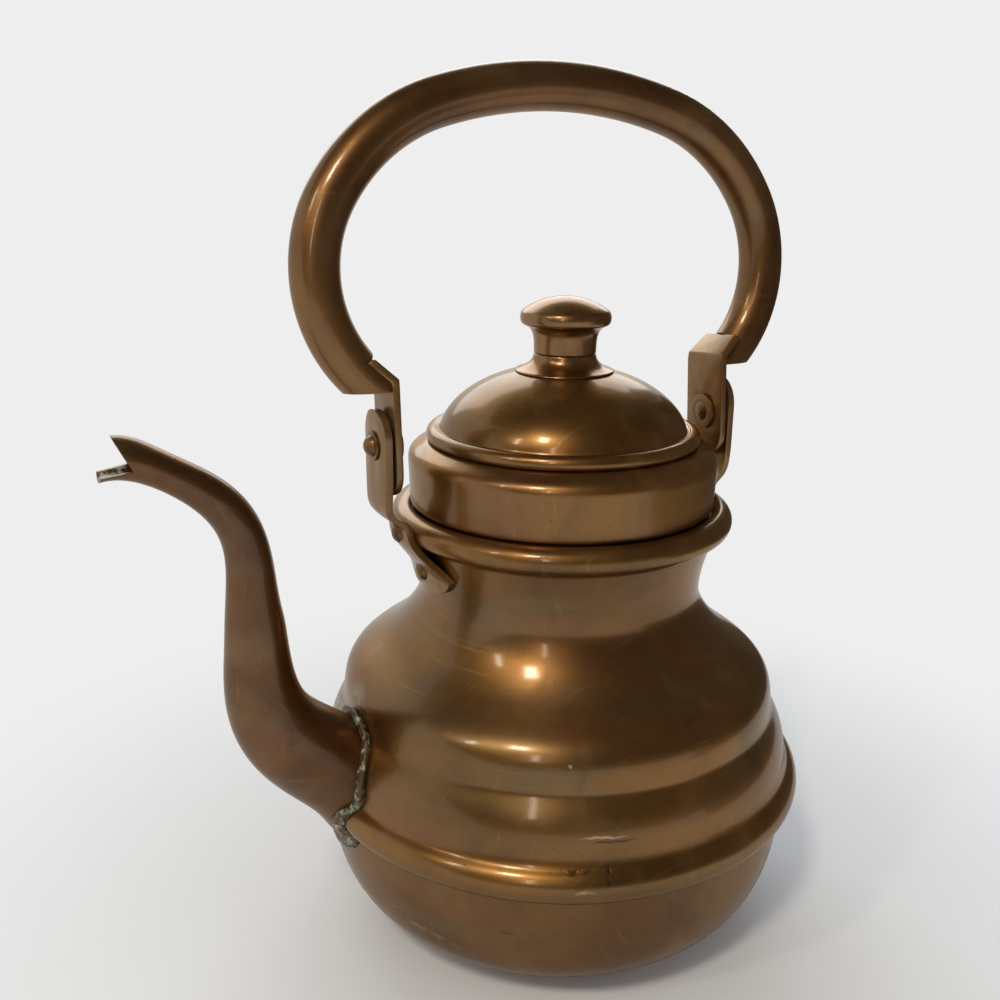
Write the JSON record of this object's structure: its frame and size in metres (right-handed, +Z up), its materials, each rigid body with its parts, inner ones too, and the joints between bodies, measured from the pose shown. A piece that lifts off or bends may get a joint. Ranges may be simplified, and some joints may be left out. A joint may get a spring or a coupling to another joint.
{
  "type": "tea_kettle",
  "caption": "Copper tea kettle with a swan-neck spout, a lift-off domed lid with a turned knob and a bail handle that swings on riveted lugs",
  "frame": {"origin": "centre of the flat base, on the surface that the kettle stands on", "axes": "+X from the spout towards the opposite side, along the line of the handle's pivots; +Y across the kettle, the way the handle leans at rest; +Z up along the middle line of the body and the lid"},
  "size_m": [0.244, 0.1766, 0.2946],
  "materials": {
    "copper_upper_body": "aged copper, golden-brown patina, semi-gloss",
    "copper_bowl": "aged copper, rosy brown patina with fine scratches",
    "copper_spout": "aged copper, rosy brown patina, semi-gloss",
    "copper_fittings": "aged copper sheet, dark brown",
    "copper_rivets": "hammered copper, worn bright on the crowns",
    "copper_handle": "aged copper tube, brown, worn glossy by hands",
    "copper_lid": "aged copper, olive-gold dome and mauve-brown band",
    "copper_knob": "turned copper, reddish brown, glossy",
    "brass_braze": "brazing metal with pale green verdigris",
    "solder": "dull soft solder with green-grey verdigris",
    "iron_wire": "dark iron wire, hidden in the rim"
  },
  "bodies": {
    "kettle": {"body_shell": "copper_upper_body", "rim_wire": "iron_wire", "bottom_bowl": "copper_bowl", "seam_solder": "solder", "spout": "copper_spout", "spout_solder": "solder", "lug_left": "copper_fittings", "lug_right": "copper_fittings", "lug_rivets": "copper_rivets", "lug_burrs": "copper_rivets", "pivot_rivets": "copper_rivets", "pivot_washers": "copper_rivets", "pivot_spacers": "copper_rivets", "pivot_burrs": "copper_rivets"},
    "handle": {"handle_tube": "copper_handle", "strap_left": "copper_fittings", "strap_right": "copper_fittings", "strap_braze": "brass_braze"},
    "lid": {"lid_dome": "copper_lid", "lid_band": "copper_lid", "lid_collar": "copper_lid", "knob": "copper_knob", "knob_base": "copper_knob", "knob_burr": "copper_rivets"}
  },
  "joints": [
    {"name": "handle_swing", "type": "hinge", "parent": "kettle", "child": "handle", "pos_m": [0, 0, 0.1775], "axis": [1, 0, 0], "range_deg": [-105, 114]},
    {"name": "lid_lift", "type": "slide", "parent": "kettle", "child": "lid", "axis": [0, 0, 1], "range_m": [0, 0.042]}
  ]
}
